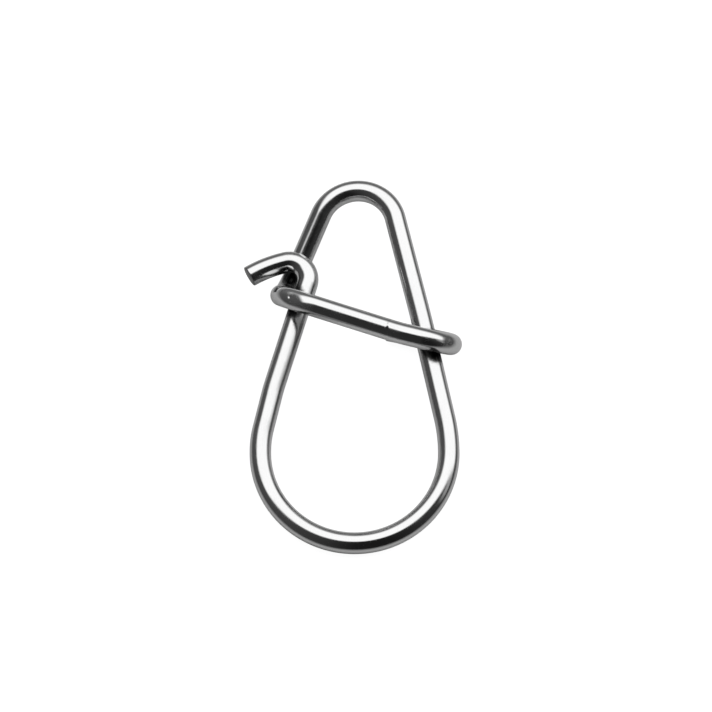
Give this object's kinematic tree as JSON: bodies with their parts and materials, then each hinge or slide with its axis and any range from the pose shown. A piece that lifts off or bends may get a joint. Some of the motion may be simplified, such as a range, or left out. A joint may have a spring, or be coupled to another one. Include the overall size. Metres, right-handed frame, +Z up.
{
  "type": "lure snap",
  "caption": "Bent-wire snap that joins a fishing line to a lure. A small loop takes the line, a large loop takes the lure, and a latch bar and a tail hook keep it shut.",
  "frame": {"origin": "bottom centre of the bounding box: on the surface the snap lies on, under the middle of its length and width", "axes": "+X across the snap, towards the end hook; +Y along it, from the large loop to the small loop; +Z up, the side the latch bar is on. The snap lies on its back and so is tipped a few degrees, with the large loop lower."},
  "size_m": [0.0154, 0.0276, 0.0053],
  "materials": {
    "wire": "polished to a mirror, drawn stainless spring wire"
  },
  "bodies": {
    "root": {"snap_wire": "wire"}
  },
  "joints": []
}
